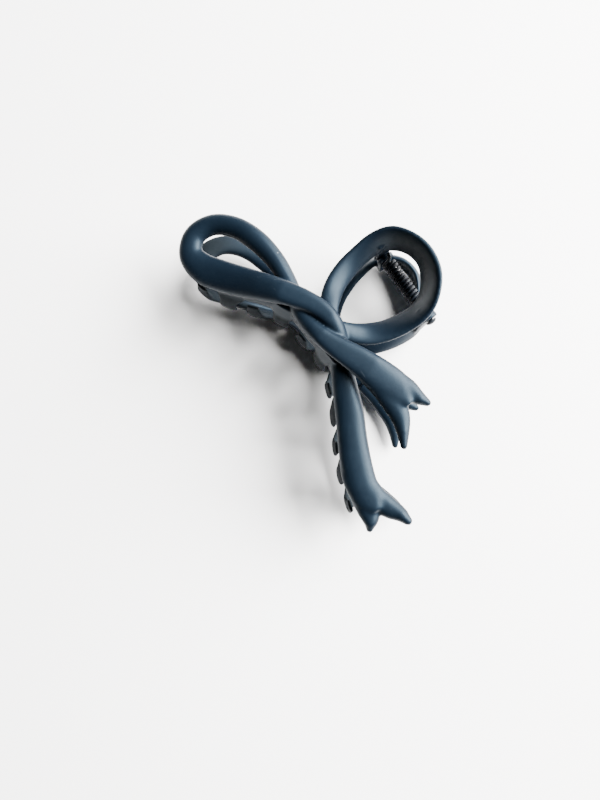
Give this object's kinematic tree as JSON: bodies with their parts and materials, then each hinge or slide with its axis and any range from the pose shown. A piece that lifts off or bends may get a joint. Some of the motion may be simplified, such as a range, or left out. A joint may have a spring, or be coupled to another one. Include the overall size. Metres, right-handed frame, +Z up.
{
  "type": "claw clip",
  "caption": "Bow-shaped claw hair clip: two mirrored ribbon jaws with interleaved teeth, hinged on a pin and held shut by a torsion spring.",
  "frame": {"origin": "centre of the bounding box in plan, on the surface the closed clip lies on", "axes": "+X along the hinge pin, from the looped side of the bow to the tail side; +Y from the toothed mouth to the finger levers; +Z up, across the two jaws"},
  "size_m": [0.132, 0.0754, 0.0416],
  "materials": {
    "upper_jaw": "soft-touch matte coating over injection-moulded plastic, navy black",
    "lower_jaw": "soft-touch matte coating over injection-moulded plastic, navy black",
    "hinge_pin": "dark-coated steel pin",
    "torsion_spring": "black-coated spring wire, slight sheen"
  },
  "bodies": {
    "lower_half": {"lower_jaw": "lower_jaw", "hinge_pin": "hinge_pin", "torsion_spring": "torsion_spring"},
    "upper_half": {"upper_jaw": "upper_jaw"}
  },
  "joints": [
    {"name": "jaw_hinge", "type": "hinge", "parent": "lower_half", "child": "upper_half", "pos_m": [-0.00412, 0.02715, 0.0208], "axis": [-1, 0, 0], "range_deg": [0, 52], "stiffness_Nm_per_rad": 0.04, "springref_deg": -45.84, "deforming": ["torsion_spring"]}
  ]
}
